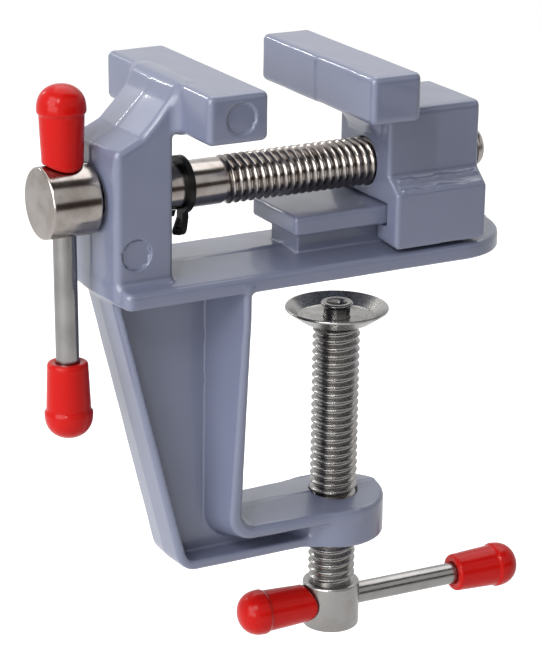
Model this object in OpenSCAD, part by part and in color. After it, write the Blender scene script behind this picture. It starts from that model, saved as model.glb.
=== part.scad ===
// Mini bench vise that clamps to the edge of a table, in millimetres
// X runs along the jaw screw, Y across the jaws and Z up
// The origin is on the underside of the plate, on the clamp screw's axis

/* [Jaws] */
// Width of both jaws
jaw_width = 42; // [34:0.2:60]
// Height of the gripping faces
jaw_height = 9.2; // [8:0.1:11]
// Height of the jaws' top above the table
jaw_top = 40.6; // [39:0.1:46]
// Thickness of the fixed jaw
fixed_jaw_depth = 12.2; // [9:0.1:16]
// Thickness of the moving jaw
moving_jaw_depth = 10.6; // [8:0.1:14]
// Gap between the jaws as the vise stands
jaw_opening = 21.3; // [12:0.1:28]
// Distance from the fixed gripping face to the clamp screw's axis
face_to_clamp = 27.26; // [25:0.1:32]
// Radius on the jaws' edges
jaw_round = 1.2; // [0.5:0.1:2]

/* [Column and plate] */
// Distance the fixed jaw overhangs the column
jaw_reach = 13.4; // [11:0.1:18]
// Depth of the column along the screw
column_depth = 12.35; // [10:0.1:16]
// Width of the column
column_width = 18.2; // [16:0.1:24]
// Height of the column's shoulder
shoulder_height = 28.9; // [27:0.1:30]
// Width of the table plate
plate_width = 25.6; // [24:0.1:34]
// Thickness of the plate along its middle
plate_thickness = 4.4; // [3.5:0.1:6]
// Fall of the plate's top from its middle to each edge
plate_fall = 0.9; // [0.3:0.1:1.2]
// Length of the plate past the clamp screw's axis
plate_reach = 34.4; // [30:0.1:50]

/* [T rail] */
// Width of the rail's head
rail_width = 17.2; // [15:0.1:19]
// Thickness of the rail's head
rail_head = 3.78; // [2.5:0.1:4.4]
// Width of the rail's stem
stem_width = 10.4; // [8:0.1:12]
// Height of the rail's stem above the plate
stem_height = 3.76; // [3.5:0.1:4.5]
// Distance from the fixed gripping face to the rail's head
rail_gap = 12.8; // [8:0.1:16]
// Length of the rail's head
rail_length = 42.5; // [36:0.1:48]
// Running clearance of the moving jaw on the rail
rail_clearance = 0.3; // [0.2:0.05:0.5]

/* [Moving jaw block] */
// Length of the block along the screw
block_length = 20.4; // [16:0.1:26]
// Distance from the back of the jaw bar to the block
block_setback = 0.6; // [0.3:0.1:2]
// Height of the block's top above the table
block_top = 30.7; // [28:0.1:32]
// Width of the block round the screw
block_width = 18.6; // [16:0.1:22]
// Width of the block's foot over the rail
foot_width = 25.5; // [24:0.1:32]
// Height at which the foot has its full width
foot_height = 14.8; // [13:0.1:15.5]
// Rise of the slope from the foot to the block
foot_slope = 2.9; // [1:0.1:4]

/* [Clamp leg] */
// Distance from the clamp screw's axis to the throat's face
throat_depth = 25.5; // [22:0.1:34]
// Height of the throat from the arm to the plate
throat_height = 47.8; // [40:0.1:70]
// Height of the arm
arm_height = 9.4; // [7:0.1:14]
// Width of the throat's face at the plate
throat_top_width = 25.2; // [19:0.1:25.6]
// Radius in the throat's lower corner
throat_round = 3.5; // [1:0.1:6]
// Width of the arm and of the throat's foot
arm_width = 18.1; // [14:0.1:19]
// Lean of the leg's outer face, in millimetres for each millimetre of height
leg_lean = 0.257; // [0.15:0.01:0.3]
// Setback of the leg's outer face from the column's
leg_setback = 1.1; // [0.5:0.1:3]
// Width of the outer flange
flange_width = 9.6; // [7:0.1:12]
// Thickness of the flanges at their edge
flange_thickness = 2.1; // [1.5:0.1:3]
// Thickness of the throat's flange where it meets the web
flange_root = 4; // [2.5:0.1:5]
// Thickness of the arm's flange at its edge
arm_flange = 2.6; // [1.5:0.1:3]
// Thickness of the web
web_thickness = 2.4; // [1.6:0.1:4]
// Diameter of the threaded boss
boss_diameter = 20.2; // [17:0.1:24]
// Height of the threaded boss
boss_height = 9.4; // [8:0.1:16]

/* [Screws] */
// Height of the jaw screw's axis above the table
screw_height = 18.8; // [17.8:0.1:20]
// Outside diameter of both threads
thread_diameter = 9.4; // [8:0.1:10.5]
// Threads in each 25.4 mm
threads_per_inch = 16; // [12:1:24]
// Diameter of the jaw screw's plain shank
shank_diameter = 8.9; // [7.4:0.1:9.4]
// Length of the shank from the head to the thread
shank_length = 26.9; // [22:0.1:30]
// Length of the jaw screw's thread
screw_thread_length = 57.8; // [52:0.1:64]
// Diameter of the jaw screw's head
screw_head_diameter = 13.46; // [12.5:0.1:15]
// Length of the jaw screw's head
screw_head_length = 9.8; // [9:0.1:14]
// Gap between the jaw screw's head and the column
head_gap = 0.34; // [0.2:0.02:1]
// Diameter of the clamp screw's head
clamp_head_diameter = 11.5; // [11:0.1:14]
// Length of the clamp screw's head
clamp_head_length = 9.6; // [9:0.1:14]
// Height of the clamp screw's cross hole above the end of its head
cross_hole_rise = 5.3; // [3.8:0.1:5.8]
// Length of the clamp screw's thread
clamp_thread_length = 55.1; // [46:0.1:60]
// Running clearance of screws, pins and bars, on the radius
running_clearance = 0.06; // [0.03:0.01:0.09]

/* [Retaining ring] */
// Distance from the column to the ring
ring_gap = 5.5; // [3:0.1:8]
// Thickness of the ring
ring_thickness = 1.2; // [0.8:0.1:1.5]
// Width of the ring's band opposite its mouth
ring_band = 1.5; // [1.3:0.1:2]
// Depth of the shank's groove
groove_depth = 0.35; // [0.2:0.05:0.6]
// Distance from the screw's axis to the end of the ears
ear_reach = 9.1; // [8:0.1:10]
// Width of each ear
ear_width = 3; // [2.2:0.1:3.5]
// Diameter of the plier hole in each ear
ear_hole = 1.5; // [1:0.1:1.8]

/* [Clamp pad] */
// Diameter of the pad
pad_diameter = 20.4; // [18:0.1:24]
// Diameter of the pad's flat floor
pad_floor = 15.2; // [11:0.1:16]
// Thickness of the pad's sheet
pad_sheet = 0.7; // [0.5:0.1:1.2]
// Depth of the dish
pad_dish = 2.1; // [1.5:0.1:3]
// Gap between the plate and the pad's rim
pad_gap = 10; // [8:0.1:20]
// Diameter of the screw's nose in the pad
nose_diameter = 5.2; // [4.6:0.1:6]
// Diameter of the nose's flared end
flare_diameter = 6.5; // [6.2:0.1:8]
// Height of the nose above the pad's rim
nose_rise = 1; // [0.5:0.1:1.5]
// Diameter of the hollow in the nose
nose_hollow = 3.4; // [2:0.1:4]

/* [Handles] */
// Diameter of both handle bars
bar_diameter = 4.4; // [3.6:0.1:5]
// Length of the jaw screw's bar between its caps
main_bar_free = 37.7; // [30:0.1:60]
// Length of the clamp screw's bar between its caps
clamp_bar_free = 34.7; // [30:0.1:60]
// Length of each cap
cap_length = 14.7; // [13:0.1:20]
// Depth of the bar in each cap
cap_socket = 10; // [8:0.1:11]
// Diameter of a cap at its mouth
cap_mouth = 7.5; // [6.6:0.1:8]
// Diameter of a cap where the round end begins
cap_body = 8.2; // [7.6:0.1:8.6]
// Diameter of the cap's round end
cap_bulb = 8.8; // [8.2:0.1:9.6]
// Length of the cap's round end
cap_dome = 5.2; // [4:0.1:6]
// Gap between a cap and the screw head that it rests on
cap_gap = 0.2; // [0.1:0.05:0.5]
// Turn of the jaw screw's bar away from upright
main_bar_turn = -1.7; // [-20:0.1:20]
// Turn of the clamp screw's bar away from the jaw screw's direction
clamp_bar_turn = -1.8; // [-20:0.1:20]

/* [Hidden] */
$fn = 64;

paint = "slategray";
plated = "silver";
red = "crimson";

inch = 25.4;
pitch = inch / threads_per_inch;
thread_depth = 0.54 * pitch;
over = 1;

fixed_face = -face_to_clamp;
moving_face = fixed_face + jaw_opening;
jaw_bottom = jaw_top - jaw_height;
column_inner = fixed_face - jaw_reach;
column_outer = column_inner - column_depth;
plate_outer = column_outer + 0.7;
plate_edge = plate_thickness - plate_fall;
crown = 0.8;

rail_start = fixed_face + rail_gap;
rail_under = plate_thickness + stem_height;
rail_top = rail_under + rail_head;
stem_setback = 2.3;

block_start = moving_face + moving_jaw_depth + block_setback;
block_end = block_start + block_length;

leg_outer = column_outer + leg_setback;
arm_bottom = -throat_height - arm_height;
arm_fall = 0.7;
boss_top = -throat_height;
boss_bottom = boss_top - boss_height;
pocket_top = -0.4;

head_end = column_outer - head_gap;
head_start = head_end - screw_head_length;
head_middle = (head_start + head_end) / 2;
thread_start = head_end + shank_length;
screw_end = thread_start + screw_thread_length;
groove_start = column_inner + ring_gap;
bore_clearance = 0.05;
screw_bore = max(thread_diameter, shank_diameter) / 2 + bore_clearance;
thread_bore = thread_diameter / 2 + running_clearance;

pad_rim = -pad_gap;
pad_top = pad_rim - pad_dish;
pad_under = pad_top - pad_sheet;
nose_top = pad_rim + nose_rise;
clamp_shoulder = pad_under - 0.1;
clamp_head_top = clamp_shoulder - clamp_thread_length;
clamp_head_bottom = clamp_head_top - clamp_head_length;
clamp_hole = clamp_head_bottom + cross_hole_rise;
bar_bore = bar_diameter / 2 + running_clearance;
chamfer = 0.5;

// Points of an outline through corners [x, y, radius], each corner rounded by its radius
corner_steps = 6;
function unit(v) = v / norm(v);
function turned(v, a) = [v.x * cos(a) - v.y * sin(a), v.x * sin(a) + v.y * cos(a)];
function corner(p, a, b) =
    let (u = unit([a.x - p.x, a.y - p.y]),
         w = unit([b.x - p.x, b.y - p.y]),
         half = acos(u * w) / 2,
         centre = [p.x, p.y] + unit(u + w) * p.z / sin(half),
         start = [p.x, p.y] + u * p.z / tan(half) - centre,
         sweep = (180 - 2 * half) * (u.x * w.y - u.y * w.x > 0 ? -1 : 1))
    [for (i = [0:corner_steps]) centre + turned(start, sweep * i / corner_steps)];
function rounded(c) =
    [for (i = [0:len(c) - 1])
        each c[i].z == 0 ? [[c[i].x, c[i].y]]
                         : corner(c[i], c[(i + len(c) - 1) % len(c)], c[(i + 1) % len(c)])];

// An outline in X and Z, drawn out across the vise
module across(width) {
    rotate([90, 0, 0]) linear_extrude(width, center = true) children();
}

// An outline in Y and Z, drawn out along the vise
module along(x0, x1) {
    translate([x0, 0, 0]) rotate([90, 0, 90]) linear_extrude(x1 - x0) children();
}

// A cylinder along X
module rod_x(radius, x0, x1, z = 0) {
    translate([x0, 0, z]) rotate([0, 90, 0]) cylinder(r = radius, h = x1 - x0);
}

// A bar with its long edges and its ends rounded
module jaw_bar(x0, depth) {
    intersection() {
        across(jaw_width)
            polygon(rounded([[x0, jaw_bottom, jaw_round], [x0 + depth, jaw_bottom, jaw_round],
                             [x0 + depth, jaw_top, jaw_round], [x0, jaw_top, jaw_round]]));
        translate([0, 0, jaw_bottom])
            linear_extrude(jaw_height)
                polygon(rounded([[x0, -jaw_width / 2, jaw_round], [x0 + depth, -jaw_width / 2, jaw_round],
                                 [x0 + depth, jaw_width / 2, jaw_round], [x0, jaw_width / 2, jaw_round]]));
    }
}

// The table plate, its top falling from the middle to both edges
module plate() {
    half = plate_width / 2;
    end = plate_reach - half;
    intersection() {
        union() {
            linear_extrude(plate_thickness)
                polygon(rounded([[plate_outer + crown, -half, 1.5], [end, -half, 0], [end, half, 0],
                                 [plate_outer + crown, half, 1.5], [plate_outer, 0, 0]]));
            translate([end, 0, 0]) cylinder(r = half, h = plate_thickness);
        }
        along(plate_outer, plate_reach)
            polygon([[-half, 0], [half, 0], [half, plate_edge], [0, plate_thickness], [-half, plate_edge]]);
    }
}

// The column, its neck and the buttress that carries the fixed jaw
module column() {
    half = column_width / 2;
    jaw_back = fixed_face - fixed_jaw_depth;
    intersection() {
        across(column_width)
            polygon(rounded([[column_outer, 1, 0], [column_outer, shoulder_height, 1.5],
                             [column_outer + 5.2, shoulder_height + 2.4, 2.5],
                             [jaw_back - 2.6, jaw_top - 3.4, 3], [jaw_back - 0.9, jaw_top - 1.1, 1],
                             [jaw_back + 2, jaw_top - 1.1, 0], [jaw_back + 2, jaw_bottom, 0],
                             [column_inner, jaw_bottom, 1.2], [column_inner, 1, 0]]));
        linear_extrude(jaw_top)
            polygon([[column_outer + crown, -half], [jaw_back + 2, -half], [jaw_back + 2, half],
                     [column_outer + crown, half], [column_outer, 0]]);
    }
}

// The rail that the moving jaw slides on
module rail() {
    along(rail_start + stem_setback, rail_start + rail_length - stem_setback)
        polygon([[-stem_width / 2, plate_edge], [stem_width / 2, plate_edge],
                 [stem_width / 2, rail_top - 1], [-stem_width / 2, rail_top - 1]]);
    intersection() {
        along(rail_start, rail_start + rail_length)
            polygon(rounded([[-rail_width / 2, rail_under, 0.6], [rail_width / 2, rail_under, 0.6],
                             [rail_width / 2, rail_top, 0.8], [-rail_width / 2, rail_top, 0.8]]));
        across(rail_width)
            polygon(rounded([[rail_start, rail_under, 0.6], [rail_start + rail_length, rail_under, 0.6],
                             [rail_start + rail_length, rail_top, 0.8], [rail_start, rail_top, 0.8]]));
    }
}

// Side view of the whole leg and arm
module leg_outline() {
    foot = leg_outer - leg_lean * arm_bottom;
    polygon(rounded([[leg_outer, 1, 0], [foot, arm_bottom, 4.5], [0, arm_bottom, 0], [0, -throat_height, 0],
                     [-throat_depth, -throat_height, throat_round], [-throat_depth, 0, 1.5],
                     [1 - throat_depth - column_depth, 1, 0]]));
}

// Side view of the pocket in each side of the leg, a flange's thickness inside the outline
module leg_pocket(thickness) {
    side = thickness * 1.03;
    outer_top = leg_outer + side - leg_lean * pocket_top;
    outer_foot = leg_outer + side - leg_lean * (arm_bottom + thickness);
    polygon(rounded([[outer_top, pocket_top, 1.5], [outer_foot, arm_bottom + thickness, 2.5],
                     [-boss_diameter / 2 + 2, arm_bottom + thickness, 1],
                     [-boss_diameter / 2 + 2, -throat_height - thickness, 1],
                     [-throat_depth - thickness / 3, -throat_height - thickness, 3.5],
                     [-throat_depth - thickness, pocket_top, 2.5]]));
}

// The flange round the throat, thickest at the web and drawn in towards the arm
module throat_flange() {
    throat_half = throat_top_width / 2;
    arm_half = arm_width / 2;
    web_half = web_thickness / 2;
    edge = -throat_depth - flange_thickness;
    root = -throat_depth - flange_root;
    arm_edge = -throat_height - arm_fall;
    arm_root = arm_edge - flange_root;
    corner_end = throat_round - throat_depth;
    intersection() {
        union() {
            intersection() {
                translate([0, 0, arm_root]) linear_extrude(over - arm_root)
                    polygon([[edge, -throat_half], [corner_end, -throat_half],
                             [corner_end, throat_half], [edge, throat_half],
                             [root, web_half], [root, -web_half]]);
                along(root, corner_end)
                    polygon([[-arm_half, arm_root], [arm_half, arm_root], [arm_half, arm_edge],
                             [throat_half, -4], [throat_half, over], [-throat_half, over],
                             [-throat_half, -4], [-arm_half, arm_edge]]);
            }
            along(root, 0)
                polygon([[0, -throat_height], [arm_half, arm_edge], [arm_half, arm_edge - arm_flange],
                         [web_half, arm_root], [-web_half, arm_root], [-arm_half, arm_edge - arm_flange],
                         [-arm_half, arm_edge]]);
        }
        across(throat_top_width)
            polygon(rounded([[-throat_depth, over, 0], [root, over, 0], [root, arm_root, 7], [0, arm_root, 0],
                             [0, -throat_height, 0], [-throat_depth, -throat_height, throat_round]]));
    }
}

// The clamp leg: a web with a narrow flange round its outside and a wide one round the throat
module leg() {
    across(web_thickness) leg_outline();
    across(flange_width) difference() {
        leg_outline();
        leg_pocket(flange_thickness);
    }
    throat_flange();
}

// The boss that the clamp screw is threaded through
module boss() {
    translate([0, 0, boss_bottom]) cylinder(d = boss_diameter, h = boss_height - arm_fall / 2);
    translate([0, 0, boss_bottom]) linear_extrude(boss_height - arm_fall)
        polygon([[-boss_diameter / 2 + 1.5, -flange_width / 2], [0, -arm_width / 2],
                 [0, arm_width / 2], [-boss_diameter / 2 + 1.5, flange_width / 2]]);
}

module body_casting() {
    mark_depth = 0.3;
    mark_radius = 3;
    color(paint) difference() {
        union() {
            plate();
            column();
            rail();
            jaw_bar(fixed_face - fixed_jaw_depth, fixed_jaw_depth);
            leg();
            boss();
        }
        rod_x(screw_bore, column_outer - over, column_inner + over, screw_height);
        translate([0, 0, boss_bottom - over]) cylinder(r = thread_bore, h = boss_height + 2 * over);
        for (side = [-1, 1]) {
            translate([fixed_face - fixed_jaw_depth / 2, side * jaw_width / 2, jaw_top - jaw_height / 2])
                rotate([90, 0, 0]) cylinder(r = mark_radius, h = 2 * mark_depth, center = true);
            translate([column_outer + column_depth / 2 - 1, side * column_width / 2, screw_height / 2])
                rotate([90, 0, 0]) cylinder(r = mark_radius, h = 2 * mark_depth, center = true);
        }
    }
}

// Front view of the block with its foot
module block_outline() {
    block_half = block_width / 2;
    foot_half = foot_width / 2;
    gap = rail_clearance;
    fall = plate_fall / (plate_width / 2);
    foot_edge = plate_thickness - fall * foot_half + gap;
    polygon(rounded([[-foot_half, foot_edge, 0.5], [0, plate_thickness + gap, 0], [foot_half, foot_edge, 0.5],
                     [foot_half, foot_height, 0.8], [block_half, foot_height + foot_slope, 1.5],
                     [block_half, block_top, 1.2], [-block_half, block_top, 1.2],
                     [-block_half, foot_height + foot_slope, 1.5], [-foot_half, foot_height, 0.8]]));
}

// The slot that fits round the rail
module rail_slot() {
    head = rail_width / 2 + rail_clearance;
    stem = stem_width / 2 + rail_clearance;
    along(block_start - over, block_end + over)
        polygon([[-stem, 0], [stem, 0], [stem, rail_under - rail_clearance], [head, rail_under - rail_clearance],
                 [head, rail_top + rail_clearance], [-head, rail_top + rail_clearance],
                 [-head, rail_under - rail_clearance], [-stem, rail_under - rail_clearance]]);
}

module moving_jaw() {
    jaw_back = moving_face + moving_jaw_depth;
    rim = 0.35;
    color(paint) difference() {
        union() {
            jaw_bar(moving_face, moving_jaw_depth);
            along(block_start, block_end) block_outline();
            // the bracket below the bar and the gusset behind it, which join bar and block
            across(block_width)
                polygon(rounded([[block_start + 1, block_top - 6, 0], [block_start, block_top - 6, 0],
                                 [moving_face + 6, jaw_bottom + 0.2, 0], [moving_face + 6, jaw_bottom + 3, 0],
                                 [jaw_back - 0.5, jaw_top - 2.4, 0], [block_start + 3, block_top + 1.6, 3],
                                 [block_start + 8, block_top - 0.2, 0], [block_start + 8, block_top - 2, 0]]));
        }
        rail_slot();
        rod_x(thread_bore, block_start - over, block_end + over, screw_height);
        translate([block_start, 0, screw_height]) rotate([0, 90, 0])
            cylinder(r1 = thread_bore + rim, r2 = thread_bore, h = 2 * rim, center = true);
    }
}

// Half of a turned thread's outline, from z0 to z1, as [radius, z] points
function thread_edge(radius, z0, z1) =
    let (turns = floor((z1 - z0) / pitch), flat = pitch / 8)
    [for (i = [0:turns - 1])
        each let (z = z0 + i * pitch)
            [[radius, z + flat / 2], [radius - thread_depth, z + pitch / 2 - flat / 2],
             [radius - thread_depth, z + pitch / 2 + flat / 2], [radius, z + pitch - flat / 2]]];

module main_screw() {
    head = screw_head_diameter / 2;
    shank = shank_diameter / 2;
    thread = thread_diameter / 2;
    dome = 1.2;
    color(plated) translate([0, 0, screw_height]) rotate([main_bar_turn, 0, 0]) difference() {
        rotate([0, 90, 0]) rotate_extrude()
            polygon(concat([[0, head_start], [head - 1.2, head_start], [head - 0.4, head_start + 0.3],
                            [head, head_start + 1.1], [head, head_end - chamfer], [head - chamfer, head_end],
                            [shank, head_end], [shank, groove_start], [shank - groove_depth, groove_start],
                            [shank - groove_depth, groove_start + ring_thickness + 0.2],
                            [shank, groove_start + ring_thickness + 0.2], [shank, thread_start]],
                           thread_edge(thread, thread_start, screw_end - dome),
                           [[thread - thread_depth, screw_end - dome], [thread - 2, screw_end - 0.3],
                            [0, screw_end]]));
        translate([head_middle, 0, 0]) cylinder(r = bar_bore, h = 3 * head, center = true);
    }
}

// The ring's mouth opens below and behind the screw, between its two ears
module retaining_ring() {
    inner = shank_diameter / 2 - groove_depth + running_clearance;
    mouth = 24;
    ear_turn = 23;
    color("black") translate([groove_start + 0.1, 0, screw_height]) rotate([90, 0, 90])
        rotate([0, 0, ear_turn / 3 + 7]) difference() {
            union() {
                translate([0, ring_band / 8, 0]) cylinder(r = inner + ring_band * 7 / 8, h = ring_thickness);
                for (side = [-1, 1]) rotate([0, 0, side * ear_turn])
                    translate([-ear_width / 2, -ear_reach + ear_width / 4, 0])
                        linear_extrude(ring_thickness)
                            polygon(rounded([[0, 0, 0.8], [ear_width, 0, 0.8],
                                             [ear_width, ear_reach - inner, 0], [0, ear_reach - inner, 0]]));
            }
            translate([0, 0, -over]) cylinder(r = inner, h = ring_thickness + 2 * over);
            translate([0, 0, -over]) linear_extrude(ring_thickness + 2 * over)
                polygon([[0, 0], [-2 * inner * sin(mouth / 2), -2 * inner * cos(mouth / 2)],
                         [2 * inner * sin(mouth / 2), -2 * inner * cos(mouth / 2)]]);
            for (side = [-1, 1]) rotate([0, 0, side * ear_turn])
                translate([0, -ear_reach + ear_width / 4 + 1.5, -over])
                    cylinder(d = ear_hole, h = ring_thickness + 2 * over);
        }
}

// A handle bar standing on its middle, its ends inside the two caps
module handle_bar(free, lowest) {
    color(plated) translate([0, 0, lowest - cap_socket])
        cylinder(d = bar_diameter, h = free + 2 * cap_socket);
}

// A moulded cap with its mouth at the origin and its round end above
module cap() {
    bulb = cap_bulb / 2;
    dome_steps = 10;
    color(red) rotate_extrude()
        polygon(concat([[0, cap_socket], [bar_diameter / 2, cap_socket], [bar_diameter / 2, 0],
                        [cap_mouth / 2 - 0.3, 0], [cap_mouth / 2, 0.4], [cap_body / 2, cap_length - cap_dome],
                        [bulb, cap_length - cap_dome]],
                       [for (i = [0:dome_steps - 1])
                           let (a = 90 * i / dome_steps)
                           [bulb * cos(a), cap_length - cap_dome + 0.8 + (cap_dome - 0.8) * sin(a)]],
                       [[0, cap_length]]));
}

// Places what is drawn along Z on the jaw screw's cross hole
module on_main_bar() {
    translate([head_middle, 0, screw_height]) rotate([main_bar_turn, 0, 0]) children();
}

// Places what is drawn along Z on the clamp screw's cross hole, with Z towards the right end
module on_clamp_bar() {
    translate([0, 0, clamp_hole]) rotate([0, 90, clamp_bar_turn]) children();
}

main_bar_top = screw_head_diameter / 2 + cap_gap;
main_bar_bottom = main_bar_top - main_bar_free;
clamp_bar_left = -clamp_head_diameter / 2 - cap_gap;
clamp_bar_right = clamp_bar_left + clamp_bar_free;

module main_bar() {
    on_main_bar() handle_bar(main_bar_free, main_bar_bottom);
}

module main_bar_upper_cap() {
    on_main_bar() translate([0, 0, main_bar_top]) cap();
}

module main_bar_lower_cap() {
    on_main_bar() translate([0, 0, main_bar_bottom]) rotate([180, 0, 0]) cap();
}

module clamp_screw() {
    head = clamp_head_diameter / 2;
    thread = thread_diameter / 2;
    nose = nose_diameter / 2;
    hollow = nose_hollow / 2;
    color(plated) rotate([0, 0, clamp_bar_turn]) difference() {
        rotate_extrude()
            polygon(concat([[0, clamp_head_bottom], [head - chamfer, clamp_head_bottom],
                            [head, clamp_head_bottom + chamfer], [head, clamp_head_top - chamfer],
                            [head - chamfer, clamp_head_top], [thread - thread_depth, clamp_head_top]],
                           thread_edge(thread, clamp_head_top + 0.4, clamp_shoulder - 0.4),
                           [[thread - thread_depth, clamp_shoulder], [nose, clamp_shoulder],
                            [nose, nose_top - 0.9], [flare_diameter / 2, nose_top - 0.15],
                            [flare_diameter / 2 - 0.1, nose_top], [hollow + 0.5, nose_top - 0.1],
                            [hollow, nose_top - 0.9], [hollow, pad_under], [0, pad_under - 0.9]]));
        translate([0, 0, clamp_hole]) rotate([0, 90, 0])
            cylinder(r = bar_bore, h = 3 * head, center = true);
    }
}

// The dished disc that swivels on the clamp screw's nose
module clamp_pad() {
    hole = nose_diameter / 2 + running_clearance;
    floor_radius = pad_floor / 2;
    rim = pad_diameter / 2;
    color(plated) rotate_extrude()
        polygon([[hole, pad_under], [floor_radius - pad_sheet, pad_under], [rim - 0.3, pad_rim - pad_sheet],
                 [rim, pad_rim - pad_sheet + 0.3], [rim, pad_rim - 0.2], [rim - 0.3, pad_rim],
                 [floor_radius, pad_top], [hole, pad_top]]);
}

module clamp_bar() {
    on_clamp_bar() handle_bar(clamp_bar_free, clamp_bar_left);
}

module clamp_bar_left_cap() {
    on_clamp_bar() translate([0, 0, clamp_bar_left]) rotate([180, 0, 0]) cap();
}

module clamp_bar_right_cap() {
    on_clamp_bar() translate([0, 0, clamp_bar_right]) cap();
}

body_casting();
moving_jaw();
main_screw();
retaining_ring();
main_bar();
main_bar_upper_cap();
main_bar_lower_cap();
clamp_screw();
clamp_pad();
clamp_bar();
clamp_bar_left_cap();
clamp_bar_right_cap();
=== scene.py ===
# Mini bench vise with a clamp leg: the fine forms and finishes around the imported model
# +X runs along the jaw screw, +Y across the jaws and +Z up
# Sizes below are millimetres where a note says nothing else, and the scene is in metres
import math
import bmesh
import bpy
import numpy as np
from mathutils import Matrix, Vector


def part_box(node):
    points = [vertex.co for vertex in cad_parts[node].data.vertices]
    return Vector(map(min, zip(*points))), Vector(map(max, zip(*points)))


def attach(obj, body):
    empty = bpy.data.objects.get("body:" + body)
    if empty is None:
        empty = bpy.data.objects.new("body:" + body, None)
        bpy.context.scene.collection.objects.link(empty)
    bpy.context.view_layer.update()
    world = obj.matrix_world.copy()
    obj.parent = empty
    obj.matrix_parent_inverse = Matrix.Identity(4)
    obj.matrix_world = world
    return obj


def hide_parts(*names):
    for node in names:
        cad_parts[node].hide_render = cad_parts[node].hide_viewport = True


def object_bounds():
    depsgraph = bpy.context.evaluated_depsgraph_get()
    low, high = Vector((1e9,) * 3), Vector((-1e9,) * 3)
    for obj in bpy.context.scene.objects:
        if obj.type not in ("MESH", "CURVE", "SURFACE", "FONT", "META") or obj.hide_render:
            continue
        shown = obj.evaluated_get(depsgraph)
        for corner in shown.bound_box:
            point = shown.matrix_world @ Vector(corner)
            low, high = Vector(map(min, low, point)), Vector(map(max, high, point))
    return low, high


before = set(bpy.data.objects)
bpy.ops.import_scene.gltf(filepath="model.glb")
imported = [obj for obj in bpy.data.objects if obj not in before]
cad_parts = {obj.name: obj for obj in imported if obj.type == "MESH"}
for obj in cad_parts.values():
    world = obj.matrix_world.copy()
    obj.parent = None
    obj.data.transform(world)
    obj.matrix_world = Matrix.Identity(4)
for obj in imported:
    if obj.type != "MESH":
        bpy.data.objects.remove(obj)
cadLow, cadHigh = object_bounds()
print("frame loaded:", len(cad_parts), "nodes")

millimetre = 0.001


def boxOf(node):   # lowest and highest corner of a CAD node, in millimetres
    low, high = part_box(node)
    return np.array(low) / millimetre, np.array(high) / millimetre


bodyLow, bodyHigh = boxOf("body_casting")
jawLow, jawHigh = boxOf("moving_jaw")
screwLow, screwHigh = boxOf("main_screw")
clampLow, clampHigh = boxOf("clamp_screw")
padLow, padHigh = boxOf("clamp_pad")


# Outlines: a list of corners [u, v, radius], each corner turned into an arc of its radius
def rounded(corners, steps=8):
    corners = [np.array(c, float) for c in corners]
    points = []
    for k, corner in enumerate(corners):
        here, radius = corner[:2], corner[2]
        if radius == 0:
            points.append(here)
            continue
        back = corners[k - 1][:2] - here
        ahead = corners[(k + 1) % len(corners)][:2] - here
        back, ahead = back / np.linalg.norm(back), ahead / np.linalg.norm(ahead)
        half = math.acos(float(np.clip(back @ ahead, -1, 1))) / 2
        middle = (back + ahead) / np.linalg.norm(back + ahead)
        centre = here + middle * radius / math.sin(half)
        start = here + back * radius / math.tan(half) - centre
        sweep = (math.pi - 2 * half) * (-1 if back[0] * ahead[1] - back[1] * ahead[0] > 0 else 1)
        for turn in np.linspace(0, sweep, steps):
            points.append(centre + [start[0] * math.cos(turn) - start[1] * math.sin(turn),
                                    start[0] * math.sin(turn) + start[1] * math.cos(turn)])
    return np.array(points)


# Fields give the distance to the metal's surface in millimetres, below zero inside
def inOutline(points, u, v):   # distance to the nearest edge, its sign from how many edges lie to the right
    nearest, inside = np.inf, False
    for (au, av), (bu, bv) in zip(points, np.roll(points, -1, axis=0)):
        eu, ev = bu - au, bv - av
        along = np.clip(((u - au) * eu + (v - av) * ev) / (eu * eu + ev * ev), 0, 1)
        nearest = np.minimum(nearest, (u - au - along * eu) ** 2 + (v - av - along * ev) ** 2)
        if ev:
            inside = inside ^ (((av > v) != (bv > v)) & (u < au + (v - av) * eu / ev))
    return np.where(inside, -1, 1) * np.sqrt(nearest)


def joined(a, b, fillet):   # union, with a quarter circle of the fillet's radius in the corner
    corner = np.hypot(np.maximum(fillet - a, 0), np.maximum(fillet - b, 0))
    return np.maximum(fillet, np.minimum(a, b)) - corner


def common(a, b, edge):   # intersection, its edge rounded by the radius
    corner = np.hypot(np.maximum(edge + a, 0), np.maximum(edge + b, 0))
    return np.minimum(-edge, np.maximum(a, b)) + corner


def slab(value, low, high):   # distance to the space between two parallel planes
    return np.abs(value - (low + high) / 2) - (high - low) / 2


def block(x, y, z, low, high, edge):   # box with rounded edges and corners
    qx, qy, qz = (slab(v, a, b) + edge for v, a, b in zip((x, y, z), low, high))
    outside = np.sqrt(np.maximum(qx, 0) ** 2 + np.maximum(qy, 0) ** 2 + np.maximum(qz, 0) ** 2)
    return outside + np.minimum(np.maximum(np.maximum(qx, qy), qz), 0) - edge


castSkin = {"seamWidth": 0.2, "wave": 0.035}


def seam(y, step):   # where the die's halves met: the near half lies lower by twice the step
    return step * (1 - np.tanh(y / castSkin["seamWidth"]))


def waviness(x, y, z):   # slow waves of a casting that cooled in its die, about 11 to 14 mm long
    first, second, third = np.sin(0.5 * x + 0.3 * z + 1), np.sin(0.45 * y + 2), np.sin(0.4 * z - 0.2 * x)
    return castSkin["wave"] * first * second * third


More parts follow.
